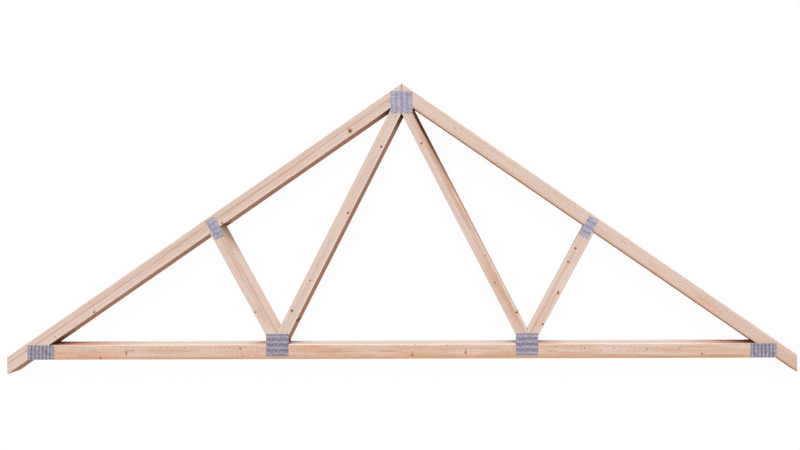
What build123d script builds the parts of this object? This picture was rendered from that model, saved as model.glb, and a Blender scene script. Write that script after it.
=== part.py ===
from build123d import *

import os
from math import atan2, cos, degrees, radians, sin, tan

# A small W-shaped wooden roof truss, lying flat on its back: X runs along the span, Y from the bottom chord
# towards the ridge, and Z through the thickness of the timber. Lengths are in millimetres.

# Whole truss
span = 3800.0  # heel to heel along the underside of the bottom chord
roof_pitch = 34.6  # slope of the top chords, in degrees
tail_overhang = 104.0  # level reach of each top chord past its heel

# Timber
timber_thickness = 47.0
top_chord_depth = 72.0
bottom_chord_depth = 75.0
web_depth = 60.0
arris_radius = 2.5  # rounding along the four long edges
saw_gap = 0.6  # clearance where two cut timbers meet
heel_butt = 5.0  # blunt tip at each end of the bottom chord
foot_place_share = 1 / 6  # web feet, from mid-span, as a share of the span
head_place_share = 1 / 4  # outer web heads, from mid-span, as a share of the span

# Nail plates
plate_thickness = 1.0
slot_width = 3.6
row_pitch = 6.9
plate_margin = 1.6  # least metal between a slot and the plate's edge
# A strip share tells where the punched strip was cut. At 0 a column of slots lies on the plate's middle, and
# at a half the middle is between two columns.

apex_plate_length = 111.0  # level
apex_plate_width = 111.0  # plumb
apex_plate_drop = 96.0  # ridge to the plate's middle
apex_slot_pitch = 28.0
apex_slot_length = 13.5
apex_slot_stagger = 6.5
apex_strip_share = 0

heel_plate_length = 133.0  # level
heel_plate_width = 73.0  # plumb
heel_plate_lift = 1.5  # underside of the bottom chord to the plate's lower edge
heel_slot_pitch = 19.0
heel_slot_length = 9.5
heel_slot_stagger = 4.5
heel_strip_share = 1 / 2

foot_plate_length = 114.0  # plumb
foot_plate_width = 114.0  # level, on the front face
foot_back_width = 76.0  # level, on the back face
foot_plate_rise = 53.5  # bottom chord's top edge up to the plate's top edge
foot_slot_pitch = 28.0
foot_slot_length = 13.5
foot_slot_stagger = 6.5
foot_strip_share = 0

mid_plate_length = 108.0  # along the web
mid_plate_width = 53.0  # across the web
mid_plate_lift = 7.0  # from the joint up into the top chord
mid_plate_shift = 6.5  # from the web's middle line towards mid-span, on the front face
mid_slot_pitch = 28.0
mid_slot_length = 13.5
mid_slot_stagger = 6.5
mid_strip_share = 0

# Worked-out lines of the truss, with heights above the underside of the bottom chord
slope = tan(radians(roof_pitch))
plumb_depth = top_chord_depth / cos(radians(roof_pitch))
plumb_gap = saw_gap / cos(radians(roof_pitch))
half_gap = saw_gap / 2
half_web = web_depth / 2
half_span = span / 2
tail_reach = half_span + tail_overhang
foot_place = span * foot_place_share
head_place = span * head_place_share
soffit_peak = half_span * slope
ridge_height = soffit_peak + plumb_depth


def roof_line(reach):
    """Height of a top chord's upper edge at a level distance from mid-span."""
    return ridge_height - reach * slope


def soffit_line(reach):
    """Height of a top chord's lower edge at a level distance from mid-span."""
    return soffit_peak - reach * slope


# The model's origin is under the middle of the whole truss.
highest = roof_line(half_gap)
lowest = soffit_line(tail_reach)
middle_height = (highest + lowest) / 2
front_level = plate_thickness + timber_thickness

os.makedirs("parts", exist_ok=True)


def placed(side, outline):
    """An outline given as (reach, height), put on one side of mid-span and about the origin."""
    return [(side * reach, height - middle_height) for reach, height in outline]


def crossing(start_a, along_a, start_b, along_b):
    """The point where two straight lines cross, each given by a point and a direction."""
    turn = along_a[0] * along_b[1] - along_a[1] * along_b[0]
    step_x = start_b[0] - start_a[0]
    step_y = start_b[1] - start_a[1]
    reach = (step_x * along_b[1] - step_y * along_b[0]) / turn
    return (start_a[0] + reach * along_a[0], start_a[1] + reach * along_a[1])


def timber(name, outline, grain):
    """A timber of the truss's thickness from its outline, with its edges along the grain rounded."""
    with BuildPart() as piece:
        with BuildSketch(Plane.XY.offset(plate_thickness)):
            with BuildLine():
                Polyline(*outline, close=True)
            make_face()
        extrude(amount=timber_thickness)
        long_edges = piece.edges().filter_by(Axis((0, 0, 0), (grain[0], grain[1], 0)))
        fillet(long_edges, radius=arris_radius)
    piece.part.label = name
    export_step(piece.part, f"parts/{name}.step")


def top_chord(side_name, side):
    """A top chord, cut plumb at the ridge and at the tail."""
    outline = [
        (half_gap, roof_line(half_gap)),
        (half_gap, soffit_line(half_gap)),
        (tail_reach, soffit_line(tail_reach)),
        (tail_reach, roof_line(tail_reach)),
    ]
    timber(f"top_chord_{side_name}", placed(side, outline), (side, -slope))


def bottom_chord():
    """The bottom chord, with both ends cut to the slope of the top chords above them."""
    heel_reach = (soffit_peak - plumb_gap - heel_butt) / slope
    upper_reach = (soffit_peak - plumb_gap - bottom_chord_depth) / slope
    half = [(heel_reach, 0), (heel_reach, heel_butt), (upper_reach, bottom_chord_depth)]
    outline = placed(1, half) + placed(-1, half[::-1])
    timber("bottom_chord", outline, (1, 0))


# Every web stands on the bottom chord at its foot, and both webs of a pair share one plumb cut there.
foot_level = bottom_chord_depth + saw_gap
foot_point = (foot_place, bottom_chord_depth)
level_line = (1, 0)
plumb_line = (0, 1)
roof_direction = (1, -slope)
soffit_start = (0, soffit_peak - plumb_gap)


def web_edges(head_point):
    """The direction of a web from foot to head, and a point on its edges away from and towards mid-span."""
    rise_x = head_point[0] - foot_point[0]
    rise_y = head_point[1] - foot_point[1]
    lean = atan2(rise_y, rise_x)
    along = (cos(lean), sin(lean))
    far_edge = (foot_point[0] + half_web * sin(lean), foot_point[1] - half_web * cos(lean))
    near_edge = (foot_point[0] - half_web * sin(lean), foot_point[1] + half_web * cos(lean))
    return along, far_edge, near_edge


def inner_web(side_name, side):
    """A long web, from its foot up to the ridge, where it is cut to the top chord and plumb at mid-span."""
    along, far_edge, near_edge = inner_edges
    foot_plumb = (foot_place - half_gap, foot_level)
    ridge_plumb = (half_gap, soffit_peak - plumb_gap - half_gap * slope)
    outline = [
        crossing(near_edge, along, foot_plumb, level_line),
        foot_plumb,
        crossing(far_edge, along, foot_plumb, plumb_line),
        crossing(far_edge, along, soffit_start, roof_direction),
        ridge_plumb,
        crossing(near_edge, along, ridge_plumb, plumb_line),
    ]
    timber(f"inner_web_{side_name}", placed(side, outline), (side * along[0], along[1]))


def outer_web(side_name, side):
    """A short web, from its foot up to the middle of the top chord."""
    along, far_edge, near_edge = outer_edges
    foot_plumb = (foot_place + half_gap, foot_level)
    outline = [
        crossing(far_edge, along, foot_plumb, level_line),
        foot_plumb,
        crossing(near_edge, along, foot_plumb, plumb_line),
        crossing(near_edge, along, soffit_start, roof_direction),
        crossing(far_edge, along, soffit_start, roof_direction),
    ]
    timber(f"outer_web_{side_name}", placed(side, outline), (side * along[0], along[1]))


def strip_slots(length, slot_pitch, slot_length, start):
    """One row of slots in a punched strip, as middles and lengths. The strip's cut ends leave short ones."""
    reach = length / 2 - plate_margin
    columns = int(length // slot_pitch) + 1
    slots = []
    for column in range(-columns, columns + 1):
        middle = start + column * slot_pitch
        low = max(middle - slot_length / 2, -reach)
        high = min(middle + slot_length / 2, reach)
        if high - low > slot_width:
            slots.append(((low + high) / 2, high - low))
    return slots


def nail_plate(name, middle, turn, level, size, slots):
    """A punched plate: rows of slots along its length, with every other row shifted by the stagger."""
    length, width = size
    slot_pitch, slot_length, slot_stagger, strip_share = slots
    rows = int((width - 2 * plate_margin - slot_width) // row_pitch) + 1
    lower_rows = (rows + 1) // 2
    upper_rows = rows // 2
    row_shift = row_pitch / 2 if lower_rows == upper_rows else 0
    start = strip_share * slot_pitch
    half_stagger = slot_stagger / 2
    lower_kind = (start - half_stagger, -row_shift, lower_rows)
    upper_kind = (start + half_stagger, row_shift, upper_rows)
    direction = (cos(radians(turn)), sin(radians(turn)), 0)
    face = Plane(origin=(middle[0], middle[1], level), x_dir=direction, z_dir=(0, 0, 1))
    with BuildPart() as piece:
        with BuildSketch(face):
            Rectangle(length, width)
            for row_start, row_height, row_count in (lower_kind, upper_kind):
                for slot_middle, cut_length in strip_slots(length, slot_pitch, slot_length, row_start):
                    with Locations((slot_middle, row_height)):
                        with GridLocations(slot_pitch, 2 * row_pitch, 1, row_count):
                            Rectangle(cut_length, slot_width, mode=Mode.SUBTRACT)
        extrude(amount=plate_thickness)
    piece.part.label = name
    export_step(piece.part, f"parts/{name}.step")


# Timbers
inner_edges = web_edges((0, soffit_peak))
outer_edges = web_edges((head_place, soffit_line(head_place)))
sides = {"left": -1, "right": 1}

bottom_chord()
for side_name, side in sides.items():
    top_chord(side_name, side)
    inner_web(side_name, side)
    outer_web(side_name, side)

# Nail plates, one on each face of every joint
outer_along = outer_edges[0]
web_lean = degrees(atan2(outer_along[1], outer_along[0]))
mid_reach = head_place + mid_plate_lift * outer_along[0]
mid_height = soffit_line(head_place) + mid_plate_lift * outer_along[1]
apex_height = ridge_height - apex_plate_drop
heel_height = heel_plate_lift + heel_plate_width / 2
foot_height = bottom_chord_depth + foot_plate_rise - foot_plate_length / 2
heel_reach = half_span - heel_plate_length / 2
quarter_turn = 90
# Level, width of the foot plates and shift of the mid plates on each face
faces = {"front": (front_level, foot_plate_width, mid_plate_shift), "back": (0, foot_back_width, 0)}

apex_size = (apex_plate_length, apex_plate_width)
heel_size = (heel_plate_length, heel_plate_width)
mid_size = (mid_plate_length, mid_plate_width)
apex_slots = (apex_slot_pitch, apex_slot_length, apex_slot_stagger, apex_strip_share)
heel_slots = (heel_slot_pitch, heel_slot_length, heel_slot_stagger, heel_strip_share)
foot_slots = (foot_slot_pitch, foot_slot_length, foot_slot_stagger, foot_strip_share)
mid_slots = (mid_slot_pitch, mid_slot_length, mid_slot_stagger, mid_strip_share)

for face_name, (level, foot_width, mid_shift) in faces.items():
    apex_middle = (0, apex_height - middle_height)
    shifted_reach = mid_reach - mid_shift * outer_along[1]
    shifted_height = mid_height + mid_shift * outer_along[0]
    foot_size = (foot_plate_length, foot_width)
    nail_plate(f"apex_plate_{face_name}", apex_middle, 0, level, apex_size, apex_slots)
    for side_name, side in sides.items():
        ending = f"{side_name}_{face_name}"
        heel_middle = (side * heel_reach, heel_height - middle_height)
        foot_middle = (side * foot_place, foot_height - middle_height)
        mid_middle = (side * shifted_reach, shifted_height - middle_height)
        mid_turn = quarter_turn - side * (quarter_turn - web_lean)
        nail_plate(f"heel_plate_{ending}", heel_middle, 0, level, heel_size, heel_slots)
        nail_plate(f"foot_plate_{ending}", foot_middle, quarter_turn, level, foot_size, foot_slots)
        nail_plate(f"mid_plate_{ending}", mid_middle, mid_turn, level, mid_size, mid_slots)
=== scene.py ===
import math
from collections import namedtuple

import bmesh
import bpy
import numpy as np
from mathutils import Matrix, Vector, noise
from mathutils.geometry import convex_hull_2d


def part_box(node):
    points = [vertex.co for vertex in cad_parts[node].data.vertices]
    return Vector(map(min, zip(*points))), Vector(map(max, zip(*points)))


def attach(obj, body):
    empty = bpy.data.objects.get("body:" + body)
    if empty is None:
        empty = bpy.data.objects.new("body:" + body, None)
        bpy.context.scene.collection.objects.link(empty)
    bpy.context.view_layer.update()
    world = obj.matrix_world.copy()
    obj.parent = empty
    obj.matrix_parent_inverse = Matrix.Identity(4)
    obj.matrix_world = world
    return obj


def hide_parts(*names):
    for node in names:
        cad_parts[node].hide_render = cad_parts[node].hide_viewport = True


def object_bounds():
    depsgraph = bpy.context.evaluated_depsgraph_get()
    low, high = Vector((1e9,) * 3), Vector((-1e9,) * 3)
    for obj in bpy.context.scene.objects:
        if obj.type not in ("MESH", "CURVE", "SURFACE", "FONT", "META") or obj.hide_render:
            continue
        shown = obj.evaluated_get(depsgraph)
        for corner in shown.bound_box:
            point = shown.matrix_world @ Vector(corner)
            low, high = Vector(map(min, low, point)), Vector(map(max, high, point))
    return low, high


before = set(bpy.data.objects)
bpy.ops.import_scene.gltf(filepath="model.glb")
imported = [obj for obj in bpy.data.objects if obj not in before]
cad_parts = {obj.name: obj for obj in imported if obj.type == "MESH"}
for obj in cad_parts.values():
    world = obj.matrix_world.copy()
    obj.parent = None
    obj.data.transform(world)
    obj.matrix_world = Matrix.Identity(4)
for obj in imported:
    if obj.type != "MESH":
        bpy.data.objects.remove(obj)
CAD_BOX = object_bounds()

bl_info = {
    "name": "Wooden roof truss",
    "version": (1, 0, 0),
    "blender": (4, 5, 0),
    "location": "View3D > Sidebar > Truss",
    "description": "Dresses a W-shaped softwood truss and its nail plates, and lights them",
    "category": "Add Mesh",
}

MM = 0.001

# The photograph, in its own pixels
PHOTO_WIDTH = 800
PHOTO_HEIGHT = 450
TAIL_LEFT_PX = 6.6
TAIL_RIGHT_PX = 796.6
RIDGE_PX = (401.8, 83.0)
EYE_PX = (512.0, 204.0)
ROLL_DEGREES = -0.17

# Where those pixels fall on the front face of the timber, in metres
METRES_PER_PX = (CAD_BOX[1][0] - CAD_BOX[0][0]) / (TAIL_RIGHT_PX - TAIL_LEFT_PX)
RIDGE_HEIGHT = CAD_BOX[1][1]


def photo_place(pixel):
    """The point of the truss's front face that a pixel of the photograph shows."""
    across = (pixel[0] - RIDGE_PX[0]) * METRES_PER_PX
    down = (pixel[1] - RIDGE_PX[1]) * METRES_PER_PX
    return Vector((across, RIDGE_HEIGHT - down))


# A spot on the wood is a place in the photograph with its half sizes along and across the grain, all in
# pixels, and its strength. A shade is the same on the upper (1) or lower (-1) edge of a timber, with the name
# of its colour, and paints shade, shadow or light there. A line or a band runs the whole length of a timber:
# its height as a share of the depth, its half width in mm, its strength, and how far it wavers in mm. A rim
# keeps to one edge of the front face as a painted highlight, painted shade or band of colour: its distance
# from that edge and its half width in mm, its strength, and the name of its colour.
Spot = namedtuple("Spot", "pixel_x pixel_y along across strength", defaults=(1.0,))
Shade = namedtuple("Shade", "edge pixel_x along across strength colour")
Line = namedtuple("Line", "height_share width strength waver", defaults=(0.0,))
Rim = namedtuple("Rim", "edge inset width strength colour")

# The look of one timber: a number that sets its noise apart, the strength of its amber, mottle and grain, the
# name of its narrow sides' colour, which is partly painted shade or painted light, how brown its left and
# right ends are, where its pith lies across and through it in mm, how far the pith strays in mm for each
# metre of length, and the width of its rings in mm
Look = namedtuple(
    "Look", "seed amber mottle grain side ends pith tilt rings knots stains shades lines bands rims"
)

# The shades paint shade and shadow in the joints, and light where their colour is pale; arris rims paint
# highlights
LOOKS = {
    "top_chord_left": Look(
        seed=1, amber=0.06, mottle=0.12, grain=0.3, side="sawn", ends=(0.1, 0.55),
        pith=(6, -46), tilt=(3, 5), rings=5.5,
        knots=(
            Spot(350.3, 130.4, 1.5, 1.7), Spot(222.2, 222.4, 0.9, 0.9), Spot(94, 310.9, 1.1, 0.8),
            Spot(389.6, 101.6, 0.5, 0.45), Spot(374.5, 117, 0.45, 0.45), Spot(54.6, 335.1, 0.4, 0.6),
        ),
        stains=(
            Spot(252.5, 200.2, 1.4, 1, 0.35), Spot(190.9, 243, 1.2, 0.9, 0.45),
            Spot(226.6, 215, 1.2, 0.7, 0.35), Spot(130, 281.3, 1, 0.7, 0.5),
            Spot(74.4, 323.3, 0.9, 0.7, 0.8), Spot(116, 300, 6, 0.6, 0.3),
        ),
        shades=(
            Shade(-1, 393, 28, 0.6, 0.95, "shade"), Shade(-1, 54, 26, 0.6, 0.65, "shade"),
            Shade(-1, 223, 5, 0.6, 0.7, "shade"),
        ),
        lines=(Line(0.55, 3, 1), Line(0.7, 2.2, 0.4), Line(0.86, 2, 0.25), Line(0.3, 2, 0.2)),
        bands=(),
        rims=(Rim(-1, 4, 4.5, 0.3, "arris"),),
    ),
    "top_chord_right": Look(
        seed=2, amber=0, mottle=0.46, grain=0.2, side="sawn", ends=(0.55, 0.1),
        pith=(-8, -60), tilt=(4, 9), rings=6,
        knots=(
            Spot(622.5, 241.6, 0.4, 0.35), Spot(625.4, 243.4, 0.4, 0.35), Spot(625.4, 237.4, 0.45, 0.35),
        ),
        stains=(
            Spot(402.7, 87.3, 0.8, 0.7, 0.9), Spot(455, 128.2, 3.4, 0.5, 1),
            Spot(574.7, 204.2, 1, 0.8, 0.9), Spot(568.9, 204.9, 0.9, 0.7, 0.7),
            Spot(538.8, 183.8, 1.4, 0.7, 0.5), Spot(780, 356, 44, 10, 0.42), Spot(730, 318, 50, 6, 0.26),
        ),
        shades=(Shade(-1, 752, 16, 0.6, 0.5, "shade"),),
        lines=(Line(0.35, 2, 0.25), Line(0.7, 2, 0.2)),
        bands=(Line(0.14, 14, 0.2),),
        rims=(
            Rim(-1, 10, 5.5, 0.5, "amber"), Rim(-1, 1.5, 4.6, 1, "line"),
            Rim(-1, 0, 3, 0.85, "shade"),
        ),
    ),
    "bottom_chord": Look(
        seed=3, amber=0.38, mottle=0.6, grain=0.4, side="planed", ends=(0.4, 0.4),
        pith=(4, -70), tilt=(5, 14), rings=6,
        knots=(
            Spot(100, 357.1, 0.7, 0.8), Spot(125.9, 352, 0.45, 1.3), Spot(411.8, 355.2, 0.5, 1),
            Spot(465.2, 352.4, 0.5, 1.1), Spot(701.6, 354.4, 0.7, 0.7), Spot(239.7, 347.9, 0.7, 0.7),
            Spot(414.7, 344.5, 0.45, 0.45), Spot(446.4, 345, 0.45, 0.45), Spot(555.4, 347.3, 0.4, 0.4),
            Spot(584.5, 348.2, 0.45, 0.45), Spot(613.6, 348.2, 0.45, 0.45), Spot(646.5, 349.4, 0.6, 0.6),
            Spot(679.4, 349.4, 0.5, 0.5), Spot(723.8, 343.6, 0.45, 0.45), Spot(159.6, 346.7, 0.35, 0.35),
            Spot(185, 346.6, 0.35, 0.35), Spot(210.3, 346.5, 0.35, 0.35),
        ),
        stains=(
            Spot(465.2, 351.8, 1.5, 3.6, 1), Spot(412, 354, 1.5, 3.4, 0.9), Spot(84, 354.7, 7, 2.4, 0.6),
            Spot(98, 356.3, 26, 0.6, 0.8), Spot(94, 350.6, 7, 3, 0.3), Spot(130.8, 349.4, 5, 0.8, 1),
            Spot(125.8, 351.8, 1.4, 4.6, 0.8), Spot(240.9, 351.5, 0.7, 7, 0.5),
            Spot(242.6, 355.6, 1.6, 1.8, 0.8), Spot(254.5, 353.5, 11, 0.7, 0.6),
            Spot(311, 345.7, 8, 0.9, 0.8), Spot(326, 345.3, 6, 0.8, 0.7), Spot(330, 351.2, 38, 0.9, 0.7),
            Spot(388, 350.6, 13, 1.1, 0.8), Spot(345, 353.9, 40, 1.4, 0.35), Spot(359, 357.6, 8, 0.6, 1),
            Spot(388, 357.6, 8, 0.6, 1), Spot(372, 349, 0.8, 0.7, 0.8), Spot(401, 348.6, 0.8, 0.6, 0.7),
            Spot(550, 351, 5, 1.2, 0.8), Spot(610, 355.2, 50, 1, 0.6), Spot(480, 348.3, 26, 0.8, 0.5),
            Spot(690, 347.4, 24, 0.7, 0.6), Spot(722, 356.1, 32, 1.4, 0.9), Spot(570, 353, 24, 1.1, 0.5),
            Spot(655, 356.6, 44, 0.9, 0.6), Spot(430, 355.6, 34, 1.2, 0.5), Spot(500, 356, 24, 1.2, 0.6),
            Spot(150, 356, 34, 1, 0.5), Spot(206, 356.6, 34, 1, 0.5),
        ),
        # Painted shadow of the top chords and webs on the top face
        shades=(
            Shade(1, 56, 100, 0.5, 0.9, "sawn"), Shade(1, 750, 80, 0.5, 0.95, "sawn"),
            Shade(1, 54, 20, 0.5, 0.4, "shade"), Shade(1, 752, 34, 0.5, 0.45, "shade"),
            Shade(1, 262, 24, 0.5, 0.6, "sawn"), Shade(1, 545, 30, 0.5, 0.5, "sawn"),
        ),
        lines=(Line(0.03, 2.4, 0.6), Line(0.5, 2.2, 0.2)),
        bands=(Line(0.08, 15, 0.75),),
        rims=(Rim(1, 1.5, 3.5, 0.7, "arris"), Rim(-1, 1.5, 3.2, 0.5, "line")),
    ),
    "inner_web_left": Look(
        seed=4, amber=0.06, mottle=0.12, grain=0.35, side="sawn", ends=(0.4, 0.4),
        pith=(-5, -50), tilt=(6, 6), rings=5.5,
        knots=(
            Spot(381.4, 146.3, 0.9, 0.9), Spot(348.1, 212.5, 1, 0.9), Spot(309.8, 279.7, 0.7, 0.7),
            Spot(296.2, 320.4, 1.6, 0.8), Spot(291.6, 310.2, 1.1, 1), Spot(395.6, 116, 0.7, 0.4),
            Spot(317.1, 264, 0.45, 0.4),
        ),
        stains=(Spot(366.2, 176.8, 0.9, 0.7, 0.5),),
        shades=(Shade(-1, 403, 28, 0.6, 0.95, "shade"),),
        lines=(Line(0.6, 2.2, 0.3), Line(0.3, 2, 0.15)),
        bands=(),
        rims=(Rim(-1, 4, 4, 0.4, "arris"),),
    ),
    "inner_web_right": Look(
        seed=5, amber=0.06, mottle=0.24, grain=0.4, side="sawn", ends=(0.4, 0.4),
        pith=(8, -48), tilt=(4, 8), rings=5,
        knots=(
            Spot(421.8, 143.1, 0.8, 0.8), Spot(494.4, 282.7, 0.7, 0.7), Spot(516.5, 312.5, 1, 1),
            Spot(485.2, 255.4, 0.5, 0.45),
        ),
        stains=(
            Spot(426.7, 138, 0.9, 0.8, 0.9), Spot(421.5, 130, 9, 1.1, 0.5), Spot(520.5, 322, 7, 0.6, 1),
            Spot(470, 222, 22, 1, 0.45), Spot(436, 160, 16, 1.2, 0.45), Spot(500.4, 296, 60, 3.4, 0.26),
            Spot(516, 316, 30, 6, 0.16),
        ),
        # Painted light on the lower part of the right side, and painted shadow of the right chord near the
        # apex
        shades=(
            Shade(1, 524, 150, 1.6, 0.9, "pale"), Shade(1, 440, 130, 1.4, 0.85, "sawn"),
            Shade(1, 420, 92, 2.3, 1, "shade"),
        ),
        lines=(
            Line(0.54, 2, 0.6, 14), Line(0.67, 2, 0.9, 14), Line(0.8, 2.2, 1, 12),
            Line(0.3, 1.8, 0.25, 8),
        ),
        bands=(Line(0.74, 20, 0.22),),
        rims=(Rim(1, 4, 4, 0.3, "arris"),),
    ),
    "outer_web_left": Look(
        seed=6, amber=-0.14, mottle=0.1, grain=0.35, side="fresh", ends=(0.4, 0.4),
        pith=(3, -60), tilt=(12, 26), rings=5.5,
        knots=(Spot(255, 311.4, 0.6, 0.7),),
        stains=(
            Spot(226, 246, 16, 5, 0.26), Spot(228, 251.6, 2, 1.4, 0.5), Spot(243, 276, 30, 4, 0.2),
            Spot(255, 292, 9, 1.2, 0.6), Spot(264, 314, 18, 5.6, 0.26),
        ),
        shades=(Shade(1, 224, 28, 0.8, 0.5, "sawn"),),
        lines=(
            Line(0.86, 1.8, 0.5, 3), Line(0.95, 1.8, 0.5, 3), Line(0.66, 1.8, 0.2, 8),
            Line(0.3, 1.8, 0.15, 8),
        ),
        bands=(Line(0.6, 18, 0.15),),
        rims=(Rim(1, 1, 2.8, 0.6, "line"),),
    ),
    "outer_web_right": Look(
        seed=7, amber=0.02, mottle=0.08, grain=0.4, side="fresh", ends=(0.4, 0.4),
        pith=(-6, -52), tilt=(8, 12), rings=5,
        knots=(
            Spot(575.3, 248.5, 0.8, 0.9), Spot(567.9, 262, 0.8, 0.9), Spot(542.6, 324.2, 0.9, 0.9),
            Spot(558, 293.2, 1.3, 0.8),
        ),
        stains=(Spot(557.9, 292.6, 2.6, 1.6, 0.7), Spot(569.5, 263, 1.2, 2, 0.5)),
        shades=(),
        lines=(Line(0.68, 2.4, 0.75), Line(0.84, 2, 0.3)),
        bands=(),
        rims=(Rim(-1, 7, 3.5, 0.5, "arris"), Rim(-1, 0.5, 3.8, 1, "line")),
    ),
}

# Punched slots of each kind of nail plate: their pitch, length and stagger along the strip in mm, where the
# strip was cut as a share of the pitch, the way the slots run, and the names of the plate's two colours
Punch = namedtuple("Punch", "pitch length stagger strip_share runs zinc tooth")
PUNCHES = {
    "apex": Punch(28.0, 13.5, 6.5, 0.0, (1, 0), "bright", "blue_tooth"),
    "heel": Punch(19.0, 9.5, 4.5, 0.5, (1, 0), "bright", "dark_tooth"),
    "foot": Punch(28.0, 13.5, 6.5, 0.0, (0, 1), "dull", "dull_tooth"),
    "mid": Punch(28.0, 13.5, 6.5, 0.0, None, "bright", "blue_tooth"),
}


def colour_property(label, words, default):
    """A colour that the user can change."""
    return bpy.props.FloatVectorProperty(
        name=label, description=words, subtype="COLOR", size=3, min=0, max=1, default=default
    )


def number_property(label, words, default, **settings):
    """A number that the user can change."""
    return bpy.props.FloatProperty(name=label, description=words, default=default, **settings)


def length_property(label, words, default):
    """A length in metres that the user can change."""
    return number_property(label, words, default, unit="LENGTH", precision=5)


class TrussTimber(bpy.types.PropertyGroup):
    """Sizes and colours of the planed softwood."""

    rounding: length_property("Rounding", "Radius of the long edges", 2.5 * MM)
    step: length_property("Step", "Mesh spacing along the grain", 8 * MM)
    wear: length_property("Wear", "Deepest unevenness of a planed face", 0.25 * MM)
    pale: colour_property("Pale wood", "Early wood of a planed face", (0.768, 0.606, 0.53))
    late: colour_property("Grain", "Late wood that draws the grain", (0.6, 0.385, 0.285))
    amber: colour_property("Amber", "Resin-rich streaks", (0.68, 0.36, 0.19))
    line: colour_property("Grain line", "Single dark lines of the grain", (0.5, 0.25, 0.14))
    knot: colour_property("Knot", "Heart of a knot", (0.13, 0.035, 0.016))
    halo: colour_property("Knot halo", "Stained wood round a knot", (0.58, 0.26, 0.11))
    # Brown narrow sides, partly painted shade; the same brown paints shadow on faces near the joints
    sawn: colour_property("Sawn side", "Brown narrow sides", (0.6, 0.29, 0.175))
    planed: colour_property("Planed side", "Pale narrow sides", (0.69, 0.6, 0.56))
    # Painted light on narrow sides that lie in shade
    fresh: colour_property("Fresh side", "Palest narrow sides", (0.88, 0.76, 0.69))
    # Painted shade and shadow deep in the joints and corners, and along some edges
    shade: colour_property("Shade", "Darkened wood deep in the joints", (0.11, 0.028, 0.011))
    # Painted highlight on the long edges, and in bands along the edges of the front faces
    arris: colour_property("Arris", "Rubbed long edges", (0.97, 0.86, 0.79))
    end: colour_property("End grain", "Sawn ends", (0.55, 0.3, 0.19))


class TrussPlate(bpy.types.PropertyGroup):
    """Sizes and colours of the nail plates."""

    slot_width: length_property("Slot width", "Width of each punched slot", 3.6 * MM)
    row_pitch: length_property("Row pitch", "Distance between rows of slots", 6.9 * MM)
    margin: length_property("Margin", "Least metal between a slot and the edge", 1.6 * MM)
    rim: length_property("Rim", "Softening of the sheared edge", 0.4 * MM)
    speck: colour_property("Speck", "Brown specks on the zinc", (0.36, 0.2, 0.16))
    bright: colour_property("Bright zinc", "Zinc of the lighter plates", (0.39, 0.352, 0.41))
    dull: colour_property("Dull zinc", "Zinc of the darker plates", (0.355, 0.306, 0.358))
    # The teeth's colours are partly painted shade down in the slots
    blue_tooth: colour_property("Blue tooth", "Tooth roots of the ridge and mid plates", (0.2, 0.245, 0.39))
    dull_tooth: colour_property("Dull tooth", "Tooth roots of the foot plates", (0.085, 0.106, 0.2))
    dark_tooth: colour_property("Dark tooth", "Tooth roots of the heel plates", (0.028, 0.038, 0.1))


class TrussStage(bpy.types.PropertyGroup):
    """Lamp levels and the camera's lens."""

    lens: number_property("Lens", "Focal length", 15.3, subtype="DISTANCE_CAMERA")
    key: number_property("Key", "Strength of the low lamp beyond the ridge", 1.9)
    front: number_property("Front", "Strength of the broad lamp above the truss", 1.225)
    sky: number_property("Sky", "Strength of the light from all round", 0.45)
    floor_bounce: colour_property("Floor", "Colour the floor throws back", (0.62, 0.5, 0.42))
    floor_white: number_property(
        "White floor", "Share of the floor that stays white in shadow", 0.94, subtype="FACTOR", min=0, max=1
    )


class Wire:
    """One output of a node. Arithmetic on it adds Math nodes."""

    def __init__(self, tree, socket):
        self.tree = tree
        self.socket = socket

    def math(self, operation, *values):
        return self.tree.add("ShaderNodeMath", {"operation": operation}, dict(enumerate(values)))

    def output(self, name):
        """Another output of the same node."""
        return Wire(self.tree, self.socket.node.outputs[name])

    def __add__(self, other):
        return self.math("ADD", self, other)

    def __radd__(self, other):
        return self.math("ADD", other, self)

    def __sub__(self, other):
        return self.math("SUBTRACT", self, other)

    def __rsub__(self, other):
        return self.math("SUBTRACT", other, self)

    def __mul__(self, other):
        return self.math("MULTIPLY", self, other)

    def __rmul__(self, other):
        return self.math("MULTIPLY", other, self)

    def __truediv__(self, other):
        return self.math("DIVIDE", self, other)

    def __rtruediv__(self, other):
        return self.math("DIVIDE", other, self)

    def __pow__(self, other):
        return self.math("POWER", self, other)

    def __rpow__(self, other):
        return self.math("POWER", other, self)

    def __abs__(self):
        return self.math("ABSOLUTE", self)


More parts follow.
